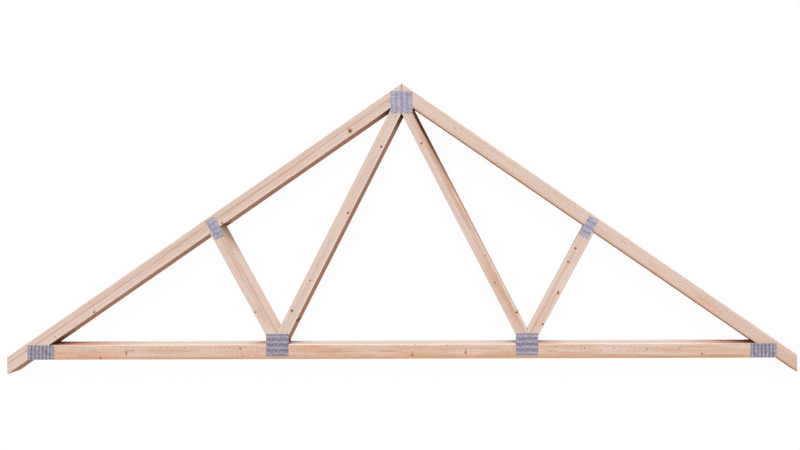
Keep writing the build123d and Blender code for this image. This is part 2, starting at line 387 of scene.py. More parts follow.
class Tree:
    """The emptied node tree of a material or a world."""

    def __init__(self, owner):
        owner.use_nodes = True
        self.nodes = owner.node_tree.nodes
        self.links = owner.node_tree.links
        self.nodes.clear()

    def add(self, kind, settings, inputs, output=0):
        """A node of any kind: its settings first, then the values or wires of its sockets."""
        node = self.nodes.new(kind)
        for name, value in settings.items():
            setattr(node, name, value)
        for name, value in inputs.items():
            socket = node.inputs[name]
            if isinstance(value, Wire):
                self.links.new(value.socket, socket)
            else:
                socket.default_value = value
        return Wire(self, node.outputs[output]) if node.outputs else None

    def mix(self, factor, first, second):
        """A colour between two colours."""
        settings = {"data_type": "RGBA", "clamp_factor": True}
        return self.add("ShaderNodeMix", settings, {0: factor, 6: opaque(first), 7: opaque(second)}, 2)

    def ramp(self, value, low, high):
        """0 below low, 1 above high, and smooth between. Low may be the larger."""
        settings = {"interpolation_type": "SMOOTHSTEP"}
        return self.add("ShaderNodeMapRange", settings, {"Value": value, "From Min": low, "From Max": high})

    def point(self, x, y, z):
        """A vector of three values."""
        return self.add("ShaderNodeCombineXYZ", {}, {0: x, 1: y, 2: z})

    def vector(self, operation, first, second, output=0):
        """Arithmetic on two vectors."""
        return self.add("ShaderNodeVectorMath", {"operation": operation}, {0: first, 1: second}, output)

    def noise(self, place, scale=1.0, detail=2.0, rough=0.5):
        """Soft noise between 0 and 1."""
        inputs = {"Vector": place, "Scale": scale, "Detail": detail, "Roughness": rough}
        return self.add("ShaderNodeTexNoise", {}, inputs)

    def bump(self, height, strength, distance):
        """The direction of a surface with a height on it."""
        inputs = {"Strength": strength, "Distance": distance, "Height": height}
        return self.add("ShaderNodeBump", {}, inputs, "Normal")

    def principled(self, inputs):
        """The finished material."""
        surface = self.add("ShaderNodeBsdfPrincipled", {}, inputs)
        self.add("ShaderNodeOutputMaterial", {}, {"Surface": surface})


def opaque(colour):
    """A colour with its alpha, or a wire as it is."""
    return colour if isinstance(colour, Wire) else (*colour, 1.0)


# Noises of the wood: repeats in a metre along and across the grain, then detail and roughness
Weave = namedtuple("Weave", "along across detail rough", defaults=(2.0, 0.5))
WANDER = Weave(1.6, 5, 1.0)
RIPPLE = Weave(7, 30)
GRIT = Weave(70, 170, 1.0)
FIBRE = Weave(28, 700)
STREAK = Weave(1.1, 60, 3.0, 0.6)
BLOTCH = Weave(5, 22)
FLAME = Weave(24, 50)

# The middle of any noise, and the step between the grain of two timbers
NOISE_MIDDLE = 0.5
SEED_STEP = 7.3


class Grain:
    """Where a place lies in a timber's grain, and the noises that are drawn out along it."""

    def __init__(self, tree, seed):
        self.tree = tree
        place = tree.add("ShaderNodeAttribute", {"attribute_name": "grain"}, {}, "Vector")
        self.along = tree.add("ShaderNodeSeparateXYZ", {}, {0: place}, "X")
        self.across = self.along.output("Y")
        self.through = self.along.output("Z")
        self.own_along = self.along + seed * SEED_STEP
        self.wander = self.stretched(WANDER) - NOISE_MIDDLE
        self.ripple = self.stretched(RIPPLE) - NOISE_MIDDLE
        self.grit = self.stretched(GRIT)
        self.fibre = self.stretched(FIBRE)
        self.streak = self.stretched(STREAK)
        self.blotch = self.stretched(BLOTCH)
        self.flame = self.stretched(FLAME) - NOISE_MIDDLE

    def stretched(self, weave):
        """Noise between 0 and 1, longer along the grain than across it."""
        across = self.across * weave.across
        place = self.tree.point(self.own_along * weave.along, across, self.through * weave.across)
        return self.tree.noise(place, detail=weave.detail, rough=weave.rough)

    def lengthwise(self, repeats, start):
        """Noise between 0 and 1 that changes only along the grain, by its repeats in a metre."""
        return self.tree.noise(self.tree.point(self.own_along * repeats, start, 0), detail=3.0)


# Where a knot's heart, its halo and a stain begin and are full, as shares of the spot's own sizes
HEART_SHARES = (1.2, 0.7)
HALO_SHARES = (2.4, 1.0)
STAIN_SHARES = (1.25, 0.35)

# How far the edge of a spot strays in and out
SPOT_RAGGEDNESS = 3 * MM


def spot_mask(grain, timber, spots, shares):
    """The strongest of some ragged spots at each place, between 0 and 1."""
    tree = grain.tree
    stray = (grain.grit - NOISE_MIDDLE) * SPOT_RAGGEDNESS
    place = tree.point(grain.along + stray, grain.across + stray, 0)
    strongest = 0.0
    for spot in spots:
        reach, height = timber.photo_spot(spot)
        half_along = spot.along * METRES_PER_PX
        half_across = spot.across * METRES_PER_PX
        scaled = tree.vector("MULTIPLY", place, (1 / half_along, 1 / half_across, 0))
        distance = tree.vector("DISTANCE", scaled, (reach / half_along, height / half_across, 0), "Value")
        mask = tree.ramp(distance, *shares) * spot.strength
        strongest = mask.math("MAXIMUM", strongest, mask)
    return strongest


# How far the year rings stray across and through a timber, bulge at a knot and ripple, and how sharp they are
RING_WANDER_ACROSS = 16 * MM
RING_WANDER_THROUGH = 10 * MM
RING_BULGE = 3 * MM
RING_RIPPLE = 1.2 * MM
RING_SHARPNESS = 3


def late_wood(grain, look, halo):
    """The late wood of the year rings, which bulge at each knot."""
    pith_across, pith_through = look.pith
    tilt_across, tilt_through = look.tilt
    across = grain.across - pith_across * MM + grain.along * (tilt_across * MM)
    across = across + grain.wander * RING_WANDER_ACROSS
    through = grain.through - pith_through * MM + grain.along * (tilt_through * MM)
    through = through + grain.wander * RING_WANDER_THROUGH
    squares = across * across + through * through
    radius = squares.math("SQRT", squares) + halo * RING_BULGE + grain.ripple * RING_RIPPLE
    turns = radius / (look.rings * MM)
    return turns.math("FRACT", turns) ** RING_SHARPNESS


# What the noises and the look's own amber add to the resin in the wood
STREAK_SHARE = 0.5
BLOTCH_SHARE = 0.42
GRIT_SHARE = 0.16
AMBER_SHARE = 0.35
AMBER_START = -0.04

# How strong a band of resin is, how far it strays, and its least and its added strength where it is gritty
BAND_SHARE = 0.3
BAND_WANDER = 20 * MM
BAND_LEAST = 0.2
BAND_GRIT = 1.6

# Levels at which resin, mottle and fibres begin to show and show in full, and how strong they then are
RESIN_LEVELS = (0.5, 0.8)
RESIN_STRENGTH = 0.8
MOTTLE_LEVELS = (0.48, 0.74)
FIBRE_LEVELS = (0.4, 0.8)
FIBRE_STRENGTH = 0.16

# Grain lines: their wobble, its repeats and those of the breaks in a metre, and what is left of a broken line
LINE_WOBBLE = 20 * MM
LINE_WOBBLES = 1.7
LINE_BREAKS = 5
LINE_BREAK_STEP = 9
BREAK_LEVELS = (0.25, 0.6)
BROKEN_STRENGTH = 0.25
FULL_LINE_SHARE = 0.3


def face_colour(grain, timber, look, late):
    """The colour of a planed face: rings, resin-rich streaks, mottle, fibres and single dark lines."""
    tones = bpy.context.scene.truss_timber
    tree = grain.tree
    colour = tree.mix(late * look.grain, tones.pale, tones.late)
    resin = grain.streak * STREAK_SHARE + grain.blotch * BLOTCH_SHARE + grain.grit * GRIT_SHARE
    resin = resin + (look.amber * AMBER_SHARE + AMBER_START)
    for band in look.bands:
        gap = abs(grain.across - timber.level_of(band.height_share) - grain.wander * BAND_WANDER)
        gritty = tree.ramp(gap, band.width * MM, 0) * (grain.grit * BAND_GRIT + BAND_LEAST)
        resin = resin + gritty * (band.strength * BAND_SHARE)
    colour = tree.mix(tree.ramp(resin, *RESIN_LEVELS) * RESIN_STRENGTH, colour, tones.amber)
    colour = tree.mix(tree.ramp(grain.grit, *MOTTLE_LEVELS) * look.mottle, colour, tones.amber)
    colour = tree.mix(tree.ramp(grain.fibre, *FIBRE_LEVELS) * FIBRE_STRENGTH, colour, tones.late)

    wobble = (grain.lengthwise(LINE_WOBBLES, look.seed) - NOISE_MIDDLE) * LINE_WOBBLE
    for line in look.lines:
        waver = grain.flame * (line.waver * MM)
        gap = abs(grain.across - timber.level_of(line.height_share) - wobble - waver)
        drawn = tree.ramp(gap, line.width * MM, FULL_LINE_SHARE * line.width * MM)
        breaks = grain.lengthwise(LINE_BREAKS, line.height_share * LINE_BREAK_STEP)
        whole = tree.ramp(breaks, *BREAK_LEVELS) * (1 - BROKEN_STRENGTH) + BROKEN_STRENGTH
        colour = tree.mix(drawn * whole * line.strength, colour, tones.line)
    return colour


# How squarely a surface faces up where sides, arrises and flats begin and are full, or lengthwise for ends
SIDE_TURNS = (0.85, 0.45)
ARRIS_TURNS = (0.999, 0.97)
PAST_ARRIS_TURNS = (0.92, 0.75)
FLAT_TURNS = (0.3, 0.6)
END_TURNS = (0.3, 0.5)

# How strongly the sides' colour, the painted arris highlight and end grain cover the wood's colour, and how
# far full shades and the browner wood by each end reach
SIDE_STRENGTH = 0.8
ARRIS_HIGHLIGHT_STRENGTH = 0.35
END_STRENGTH = 0.6
FULL_SHADE_SHARE = 0.6
END_BROWN_REACH = 7 * MM
END_BROWN_FULL = 2 * MM


def edge_colour(grain, timber, look, normal, colour):
    """Sides that are partly painted shade or light, a painted highlight on the arrises, rims of the front
    face and painted shade and light in the joints, over a colour.
    """
    tones = bpy.context.scene.truss_timber
    tree = grain.tree
    upright = abs(tree.add("ShaderNodeSeparateXYZ", {}, {0: normal}, "Z"))
    narrow = tree.ramp(upright, *SIDE_TURNS)
    # A painted highlight on the front-most part of each arris
    painted_highlight = tree.ramp(upright, *ARRIS_TURNS) - tree.ramp(upright, *PAST_ARRIS_TURNS)
    flat = tree.ramp(upright, *FLAT_TURNS)
    # The sides' colour is partly painted shade or painted light
    colour = tree.mix(narrow * SIDE_STRENGTH, colour, getattr(tones, look.side))
    colour = tree.mix(painted_highlight * ARRIS_HIGHLIGHT_STRENGTH, colour, tones.arris)
    # Rims paint a highlight, shade or band of colour along an edge of the front face
    for rim in look.rims:
        gap = abs(grain.across * rim.edge - timber.half_depth + rim.inset * MM)
        drawn = tree.ramp(gap, rim.width * MM, FULL_LINE_SHARE * rim.width * MM) * flat
        colour = tree.mix(drawn * rim.strength, colour, getattr(tones, rim.colour))
    # Shades paint shade and shadow near the joints, and light on some sides
    for shade in look.shades:
        reach, height = timber.on_edge(shade)
        half_across = shade.across * METRES_PER_PX
        fading = tree.ramp(abs(grain.along - reach), shade.along * METRES_PER_PX, 0)
        near = tree.ramp(abs(grain.across - height), half_across, FULL_SHADE_SHARE * half_across)
        colour = tree.mix(fading * near * shade.strength, colour, getattr(tones, shade.colour))
    return colour


def end_colour(grain, timber, look, normal, colour):
    """Brown end grain, and wood that turns browner close to each end, over a colour."""
    tones = bpy.context.scene.truss_timber
    tree = grain.tree
    end_gap = tree.add("ShaderNodeAttribute", {"attribute_name": "end_gap"}, {}, "Fac")
    turned = tree.vector("DOT_PRODUCT", normal, (*timber.along, 0), "Value")
    left_end, right_end = look.ends
    strength = grain.along.math("GREATER_THAN", grain.along, 0.0) * (right_end - left_end) + left_end
    colour = tree.mix(tree.ramp(end_gap, END_BROWN_REACH, END_BROWN_FULL) * strength, colour, tones.end)
    return tree.mix(tree.ramp(abs(turned), *END_TURNS) * END_STRENGTH, colour, tones.end)


# How strongly stains, halos and hearts cover the wood's colour
STAIN_STRENGTH = 0.7
HALO_STRENGTH = 0.7
HEART_STRENGTH = 0.9

# What fibres, rings and knots add to the relief of the wood and to its roughness
FIBRE_RELIEF = 0.5
RING_RELIEF = 0.5
KNOT_RELIEF = -0.6
WOOD_RELIEF = 0.5 * MM
WOOD_ROUGHNESS = 0.62
FIBRE_ROUGHNESS = 0.16
KNOT_ROUGHNESS = -0.15


def softwood(name, look, timber):
    """Planed softwood with the grain, knots, stains, lines, ends, and edges with painted shade, light and
    highlights, of one timber.
    """
    tones = bpy.context.scene.truss_timber
    material = bpy.data.materials.new(name)
    tree = Tree(material)
    grain = Grain(tree, look.seed)
    normal = tree.add("ShaderNodeNewGeometry", {}, {}, "Normal")
    heart = spot_mask(grain, timber, look.knots, HEART_SHARES)
    halo = spot_mask(grain, timber, look.knots, HALO_SHARES)
    stain = spot_mask(grain, timber, look.stains, STAIN_SHARES)
    late = late_wood(grain, look, halo)

    colour = face_colour(grain, timber, look, late)
    colour = tree.mix(stain * STAIN_STRENGTH, colour, tones.halo)
    colour = tree.mix(halo * HALO_STRENGTH, colour, tones.halo)
    colour = edge_colour(grain, timber, look, normal, colour)
    colour = tree.mix(heart * HEART_STRENGTH, colour, tones.knot)
    colour = end_colour(grain, timber, look, normal, colour)

    relief = grain.fibre * FIBRE_RELIEF + late * RING_RELIEF + heart * KNOT_RELIEF
    bump = tree.bump(relief, strength=0.3, distance=WOOD_RELIEF)
    roughness = WOOD_ROUGHNESS + grain.fibre * FIBRE_ROUGHNESS + heart * KNOT_ROUGHNESS
    tree.principled({"Base Color": colour, "Roughness": roughness, "Normal": bump, "Specular IOR Level": 0.0})
    return material


# Spangles, clouds and specks in a metre of zinc, and clouds in a metre of the teeth
SPANGLES = 170
CLOUDS = 45
SPECKS = 260
TOOTH_CLOUDS = 130

# Shades of a metal as shares of its colour
DARKER_SHARE = 0.72
PALER_SHARE = 1.2
RUST_SHARES = (2.2, 1.4, 1.0)

# Levels at which clouds, specks and rust begin to show and show in full, and how strong each then is, with
# the strength of the painted shade along the slot columns
CLOUD_LEVELS = (0.25, 0.75)
SPECK_LEVELS = (0.64, 0.74)
SPECK_STRENGTH = 0.35
PAINTED_COLUMN_SHADE_STRENGTH = 0.2
RUST_LEVELS = (0.5, 0.75)
RUST_STRENGTH = 0.7

# Relief and roughness of the metals, and what clouds and spangles add to the roughness
ZINC_RELIEF = 0.2 * MM
ZINC_ROUGHNESS = 0.4
TOOTH_ROUGHNESS = 0.55
CLOUD_ROUGHNESS = 0.2
SPANGLE_ROUGHNESS = 0.08


def plate_noise(tree, scale, detail):
    """Noise over a plate, by its repeats in a metre."""
    place = tree.add("ShaderNodeTexCoord", {}, {}, "Object")
    return tree.noise(place, scale=scale, detail=detail)


def zinc(name, colour, painted_column_shade_colour):
    """Dull galvanised sheet, with faint spangle, brown specks and painted shade along the columns of slots.
    """
    material = bpy.data.materials.new(name)
    tree = Tree(material)
    place = tree.add("ShaderNodeTexCoord", {}, {}, "Object")
    spangle = tree.add("ShaderNodeTexVoronoi", {}, {"Vector": place, "Scale": SPANGLES}, "Color")
    grey = tree.add("ShaderNodeSeparateColor", {}, {0: spangle}, "Red")
    cloud = plate_noise(tree, CLOUDS, detail=4.0)
    speck = plate_noise(tree, SPECKS, detail=2.0)
    struck = tree.add("ShaderNodeAttribute", {"attribute_name": "struck"}, {}, "Fac")
    darker = [DARKER_SHARE * part for part in colour]
    paler = [min(1.0, PALER_SHARE * part) for part in colour]
    specked = tree.ramp(speck, *SPECK_LEVELS)
    shade = tree.mix(tree.ramp((cloud + grey) / 2, *CLOUD_LEVELS), darker, paler)
    # Painted shade along the columns of slots, in the colour of the teeth
    shade = tree.mix(struck * PAINTED_COLUMN_SHADE_STRENGTH, shade, painted_column_shade_colour)
    shade = tree.mix(specked * SPECK_STRENGTH, shade, bpy.context.scene.truss_plate.speck)
    roughness = ZINC_ROUGHNESS + cloud * CLOUD_ROUGHNESS + grey * SPANGLE_ROUGHNESS
    bump = tree.bump(cloud, strength=0.15, distance=ZINC_RELIEF)
    tree.principled({"Base Color": shade, "Metallic": 0.6, "Roughness": roughness, "Normal": bump})
    return material


def tooth_metal(name, colour):
    """Dark metal down in the slots, its colour partly painted shade, rusty in patches."""
    material = bpy.data.materials.new(name)
    tree = Tree(material)
    cloud = plate_noise(tree, TOOTH_CLOUDS, detail=2.0)
    rusty = [share * part for share, part in zip(RUST_SHARES, colour)]
    shade = tree.mix(tree.ramp(cloud, *RUST_LEVELS) * RUST_STRENGTH, colour, rusty)
    roughness = TOOTH_ROUGHNESS + cloud * CLOUD_ROUGHNESS
    tree.principled({"Base Color": shade, "Metallic": 0.3, "Roughness": roughness, "Specular IOR Level": 0.2})
    return material


# Points nearer than this, in metres, are one place, and heights across a timber keep as many decimals
SAME_PLACE = 1e-6
HEIGHT_DECIMALS = 6


def node_points(node):
    """The points of a node of the frame."""
    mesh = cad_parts[node].data
    points = np.empty(len(mesh.vertices) * 3)
    mesh.vertices.foreach_get("co", points)
    return points.reshape(-1, 3)


def plan_outline(points):
    """The corners of a node's convex outline, seen from above."""
    shortest_side = MM / 20
    least_turn = math.radians(1)
    flat = [tuple(point[:2]) for point in points]
    hull = [Vector(flat[i]) for i in convex_hull_2d(flat)]
    ring = [corner for i, corner in enumerate(hull) if (corner - hull[i - 1]).length > shortest_side]
    corners = []
    for i, corner in enumerate(ring):
        before = corner - ring[i - 1]
        after = ring[(i + 1) % len(ring)] - corner
        if before.angle(after) > least_turn:
            corners.append(corner)
    return corners


def long_side(corners):
    """The direction of an outline's longest side, pointing towards +X."""
    sides = [corners[i] - corners[i - 1] for i in range(len(corners))]
    longest = max(sides, key=lambda side: side.length).normalized()
    return longest if longest.x > 0 else -longest


def extent(corners, way):
    """How far an outline reaches in one direction."""
    reaches = [corner.dot(way) for corner in corners]
    return max(reaches) - min(reaches)


class Timber:
    """The place, direction and outline of one timber, read from its node."""

    def __init__(self, node):
        points = node_points(node)
        corners = plan_outline(points)
        self.along = long_side(corners)
        self.across = Vector((-self.along.y, self.along.x))
        low, high = points[:, 2].min(), points[:, 2].max()
        self.level = (low + high) / 2
        self.half_thick = (high - low) / 2
        reaches = [corner.dot(self.along) for corner in corners]
        heights = [corner.dot(self.across) for corner in corners]
        middle_reach = (min(reaches) + max(reaches)) / 2
        middle_height = (min(heights) + max(heights)) / 2
        self.middle = self.along * middle_reach + self.across * middle_height
        self.half_depth = (max(heights) - min(heights)) / 2
        self.length = max(reaches) - min(reaches)
        self.corners = [self.own(corner) for corner in corners]

    def own(self, place):
        """A place in plan as the timber's own distances along and across the grain."""
        offset = Vector(place) - self.middle
        return offset.dot(self.along), offset.dot(self.across)

    def photo_spot(self, spot):
        """The place that a spot of the photograph has on the timber."""
        return self.own(photo_place((spot.pixel_x, spot.pixel_y)))

    def on_edge(self, shade):
        """The place that a shade has on its edge of the timber."""
        height = shade.edge * self.half_depth
        start = self.middle + self.across * height
        return (photo_place((shade.pixel_x, 0)).x - start.x) / self.along.x, height

    def level_of(self, height_share):
        """The distance across the timber from its middle to a share of its depth."""
        return (height_share - 0.5) * 2 * self.half_depth

    def kinks(self):
        """Heights across the timber where a sawn end changes direction."""
        inside = self.half_depth - MM
        return sorted({round(v, HEIGHT_DECIMALS) for _, v in self.corners if abs(v) < inside})

    def reach(self, heights):
        """The timber's two ends at some heights across it."""
        close = MM / 100
        sides = [v for _, v in self.corners]
        heights = np.clip(heights, min(sides), max(sides))
        low = np.full(heights.shape, np.inf)
        high = np.full(heights.shape, -np.inf)
        for i, (u1, v1) in enumerate(self.corners):
            u0, v0 = self.corners[i - 1]
            if abs(v1 - v0) < close:
                continue
            share = np.clip((heights - v0) / (v1 - v0), 0, 1)
            here = np.abs(v0 + share * (v1 - v0) - heights) < close
            crossing = u0 + share * (u1 - u0)
            low = np.where(here, np.minimum(low, crossing), low)
            high = np.where(here, np.maximum(high, crossing), high)
        return low, high


def section_points(half_depth, half_thick, arris, kinks):
    """Points round a timber's section, with its rounded arrises, as (across, through, normal)."""
    face_parts = 12
    edge_parts = 8
    arc_parts = 4
    flat = half_depth - arris
    stand = half_thick - arris
    spaced = np.linspace(-flat, flat, face_parts + 1)
    heights = sorted({*np.round(spaced, HEIGHT_DECIMALS), *kinks})
    levels = np.linspace(stand, -stand, edge_parts + 1)
    points = []

    def arc(start, middle_across, middle_through):
        for i in range(1, arc_parts):
            angle = start - math.pi / 2 * i / arc_parts
            turn = (math.cos(angle), math.sin(angle))
            points.append((middle_across + arris * turn[0], middle_through + arris * turn[1], turn))

    points += [(v, half_thick, (0, 1)) for v in heights]
    arc(math.pi / 2, flat, stand)
    points += [(half_depth, w, (1, 0)) for w in levels]
    arc(0, flat, -stand)
    points += [(v, -half_thick, (0, -1)) for v in heights[::-1]]
    arc(-math.pi / 2, -flat, -stand)
    points += [(-half_depth, w, (-1, 0)) for w in levels[::-1]]
    arc(-math.pi, -flat, stand)
    return points


# The fewest steps along a timber, and the steps at its ends as a share of the others
FEWEST_STEPS = 8
END_STEP_SHARE = 0.25

# Unevenness of faces and arrises: repeats in a metre, the step between timbers, and depths in shares of wear
FACE_ALONG = 2.5
FACE_ACROSS = 22
FACE_SEED = 11
ARRIS_ALONG = 18
ARRIS_ACROSS = 60
ARRIS_SEED = 5
ARRIS_WEAR = 0.8
ARRIS_WEAR_RANGE = 1.6
KNOT_DENT = 1.2
DEEPEST_WEAR = 3
LEAST_FACE_TURN = 0.9


def station_shares(length, step):
    """Where rings of points stand along a timber, as shares of its length."""
    steps = np.linspace(0, 1, max(FEWEST_STEPS, int(length / step)) + 1)
    close = step / length * END_STEP_SHARE
    return np.unique(np.concatenate((steps, (close, 2 * close, 1 - 2 * close, 1 - close))))[:, None]


def wear_shares(timber, look, reach, heights, levels, turns):
    """How deep each point of a timber's skin is worn, as a share of the wear."""
    corners = np.abs(turns[:, 0] * turns[:, 1]) * 2
    worn = np.zeros_like(reach)
    for (i, j), along in np.ndenumerate(reach):
        across, through = heights[j], levels[j]
        face = (along * FACE_ALONG + look.seed * FACE_SEED, across * FACE_ACROSS, through * FACE_ACROSS)
        rub = (along * ARRIS_ALONG, across * ARRIS_ACROSS + look.seed * ARRIS_SEED, through * ARRIS_ACROSS)
        arris = corners[j] * (ARRIS_WEAR + ARRIS_WEAR_RANGE * noise.noise(Vector(rub)))
        worn[i, j] = (0.5 + 0.5 * noise.noise(Vector(face))) * (1 + arris)
    on_face = np.abs(turns[:, 1]) > LEAST_FACE_TURN
    for knot in look.knots:
        knot_reach, knot_height = timber.photo_spot(knot)
        far_along = (reach - knot_reach) / knot.along
        far_across = (heights - knot_height) / knot.across
        far = np.hypot(far_along, far_across) / METRES_PER_PX
        worn += KNOT_DENT * np.exp(-far * far / 2) * on_face
    return np.clip(worn, 0, DEEPEST_WEAR)


def skin_faces(stations, heights, limits):
    """The faces of a timber's skin, whose ends are split where a sawn end changes direction."""
    count = len(heights)
    faces = []
    for i in range(stations):
        for j in range(count):
            k = (j + 1) % count
            faces.append((i * count + j, i * count + k, (i + 1) * count + k, (i + 1) * count + j))
    for base in (0, stations * count):
        for below, above in zip(limits, limits[1:]):
            inside = (heights >= below - SAME_PLACE) & (heights <= above + SAME_PLACE)
            faces.append([base + j for j in range(count) if inside[j]])
    return faces


def timber_mesh(name, timber, look):
    """A timber with worn arrises and slightly uneven faces, and its own grain coordinates."""
    sizes = bpy.context.scene.truss_timber
    kinks = timber.kinks()
    section = section_points(timber.half_depth, timber.half_thick, sizes.rounding, kinks)
    heights, levels, turns = (np.array(part) for part in zip(*section))
    shares = station_shares(timber.length, sizes.step)
    low, high = timber.reach(heights)
    reach = low + (high - low) * shares
    inward = wear_shares(timber, look, reach, heights, levels, turns) * sizes.wear
    across = heights - turns[:, 0] * inward
    through = levels - turns[:, 1] * inward
    low, high = timber.reach(across)
    reach = low + (high - low) * shares

    places = np.empty((*reach.shape, 3))
    places[..., 0] = timber.middle.x + timber.along.x * reach + timber.across.x * across
    places[..., 1] = timber.middle.y + timber.along.y * reach + timber.across.y * across
    places[..., 2] = timber.level + through
    if not np.isfinite(places).all():
        raise ValueError(f"{name} has points that lie nowhere")
    faces = skin_faces(len(shares) - 1, heights, [-timber.half_depth, *kinks, timber.half_depth])
    mesh = bpy.data.meshes.new(name)
    mesh.from_pydata(places.reshape(-1, 3).tolist(), [], faces)
    grain = mesh.attributes.new("grain", "FLOAT_VECTOR", "POINT")
    grain.data.foreach_set("vector", np.stack((reach, across, through), axis=-1).reshape(-1))
    end_gap = mesh.attributes.new("end_gap", "FLOAT", "POINT")
    end_gap.data.foreach_set("value", np.minimum(reach - low, high - reach).reshape(-1))
    return mesh


# Edges that turn more than this stay sharp
TIMBER_SHARP_DEGREES = 35
PLATE_SHARP_DEGREES = 30


def tidy_mesh(mesh, sharp_degrees):
    """Turn every face outwards, and shade smooth but for the sharp edges."""
    shape = bmesh.new()
    shape.from_mesh(mesh)
    bmesh.ops.recalc_face_normals(shape, faces=shape.faces)
    shape.to_mesh(mesh)
    shape.free()
    mesh.shade_smooth()
    mesh.set_sharp_from_angle(angle=math.radians(sharp_degrees))


def add_piece(name, mesh, materials, node):
    """Put a finished mesh in the scene in place of a node of the frame."""
    for material in materials:
        mesh.materials.append(material)
    piece = bpy.data.objects.new(name, mesh)
    bpy.context.scene.collection.objects.link(piece)
    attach(piece, "root")
    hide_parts(node)


def add_timber(node):
    """One timber of the truss, dressed."""
    look = LOOKS[node]
    timber = Timber(node)
    mesh = timber_mesh(f"{node}_timber", timber, look)
    tidy_mesh(mesh, TIMBER_SHARP_DEGREES)
    wood = softwood(f"{node}_softwood", look, timber)
    add_piece(f"{node}_timber", mesh, [wood], node)


def strip_slots(length, punch, start):
    """The slots that one row of a plate keeps, cut from the punched strip, as (left end, right end)."""
    sizes = bpy.context.scene.truss_plate
    limit = length / 2 - sizes.margin
    columns = math.ceil(length / (punch.pitch * MM))
    slots = []
    for column in range(-columns, columns + 1):
        middle = start + column * punch.pitch * MM
        left = max(middle - punch.length * MM / 2, -limit)
        right = min(middle + punch.length * MM / 2, limit)
        if right - left > sizes.slot_width:
            slots.append((left, right))
    return slots


def slot_rows(length, width, punch):
    """The rows of a plate's slots: each row's height and its slots."""
    sizes = bpy.context.scene.truss_plate
    rows = int((width - 2 * sizes.margin - sizes.slot_width) // sizes.row_pitch) + 1
    start = punch.strip_share * punch.pitch * MM
    half_stagger = punch.stagger * MM / 2
    places = []
    for row in range(rows):
        height = (row - (rows - 1) / 2) * sizes.row_pitch
        shift = -half_stagger if row % 2 == 0 else half_stagger
        places.append((height, strip_slots(length, punch, start + shift)))
    return places


# How far the sheared edge drops, as a share of the rim, and how thick a slot's rolled end stays
RIM_DROP_SHARE = 0.6
ROLLED_END_SHARE = 0.6


def distinct(values):
    """Values in order, without those that fall on the one before."""
    values = np.array(sorted(values))
    return values[np.concatenate(([True], np.diff(values) > SAME_PLACE))]


def sheet_faces(length, width, thick, rows, slot_width, rim):
    """A flat sheet with its slots cut through, its rim softened and the slot ends rolled down."""
    half_width = slot_width / 2
    roll = min(rim * 2, half_width)
    across = {-length / 2, -length / 2 + rim, length / 2 - rim, length / 2}
    up = {-width / 2, -width / 2 + rim, width / 2 - rim, width / 2}
    for height, slots in rows:
        up |= {height - half_width, height + half_width}
        for left, right in slots:
            across |= {left, right, left - roll, right + roll}
    xs = distinct(across)
    ys = distinct(up)
    solid = np.ones((len(xs) - 1, len(ys) - 1), bool)
    top = np.full((len(xs), len(ys)), thick)
    top[[0, -1], :] -= rim * RIM_DROP_SHARE
    top[:, [0, -1]] -= rim * RIM_DROP_SHARE
    middle_x = (xs[1:] + xs[:-1]) / 2
    middle_y = (ys[1:] + ys[:-1]) / 2
    for height, slots in rows:
        inside_y = np.abs(middle_y - height) < half_width
        edge_y = np.abs(ys - height) < half_width + SAME_PLACE
        for left, right in slots:
            inside_x = (middle_x > left) & (middle_x < right)
            solid[np.ix_(inside_x, inside_y)] = False
            ends = np.minimum(np.abs(xs - left), np.abs(xs - right)) < SAME_PLACE
            top[np.ix_(ends, edge_y)] = thick * ROLLED_END_SHARE
    count = len(xs) * len(ys)
    grid_x, grid_y = np.meshgrid(xs, ys, indexing="ij")
    points = list(zip(grid_x.ravel(), grid_y.ravel(), top.ravel()))
    points += [(x, y, 0.0) for x, y in zip(grid_x.ravel(), grid_y.ravel())]

    def corner(i, j):
        return i * len(ys) + j

    faces = []
    for i in range(len(xs) - 1):
        for j in range(len(ys) - 1):
            if not solid[i, j]:
                continue
            ring = (corner(i, j), corner(i + 1, j), corner(i + 1, j + 1), corner(i, j + 1))
            faces.append(ring)
            faces.append(tuple(count + index for index in ring[::-1]))
            beside = ((i, j - 1), (i + 1, j), (i, j + 1), (i - 1, j))
            for side, (a, b) in enumerate(beside):
                inside = 0 <= a < solid.shape[0] and 0 <= b < solid.shape[1]
                if not (inside and solid[a, b]):
                    first, second = ring[side], ring[(side + 1) % 4]
                    faces.append((first, count + first, count + second, second))
    return points, faces


# The bent root of a tooth: steps from the slot's end as shares of the root's reach, heights as shares of the
# sheet's thickness, and the root's reach and width as shares of the slot's length and width
ROOT_STEP_SHARES = (0.0, 0.25, 0.5, 0.75, 1.0)
ROOT_TOP_SHARES = (0.62, 0.56, 0.4, 0.2, 0.04)
ROOT_REACH_SHARE = 0.47
ROOT_WIDTH_SHARE = 0.94


def tooth_roots(rows, slot_width, thick):
    """The two bent-down tooth roots in each slot, as closed curved tabs."""
    points = []
    faces = []
    half = slot_width * ROOT_WIDTH_SHARE / 2
    steps = len(ROOT_STEP_SHARES)
    for height, slots in rows:
        for left, right in slots:
            reach = (right - left) * ROOT_REACH_SHARE
            for side, end in ((-1, left), (1, right)):
                base = len(points)
                for step, level in zip(ROOT_STEP_SHARES, ROOT_TOP_SHARES):
                    x = end - side * reach * step
                    for y in (height - half, height + half):
                        points.append((x, y, thick * level))
                        points.append((x, y, 0.0))
                for i in range(steps - 1):
                    a = base + 4 * i
                    b = a + 4
                    faces += [(a, b, b + 2, a + 2), (a + 1, a + 3, b + 3, b + 1)]
                    faces += [(a, a + 1, b + 1, b), (a + 2, b + 2, b + 3, a + 3)]
                last = base + 4 * (steps - 1)
                faces += [(base, base + 2, base + 3, base + 1), (last, last + 1, last + 3, last + 2)]
    return points, faces


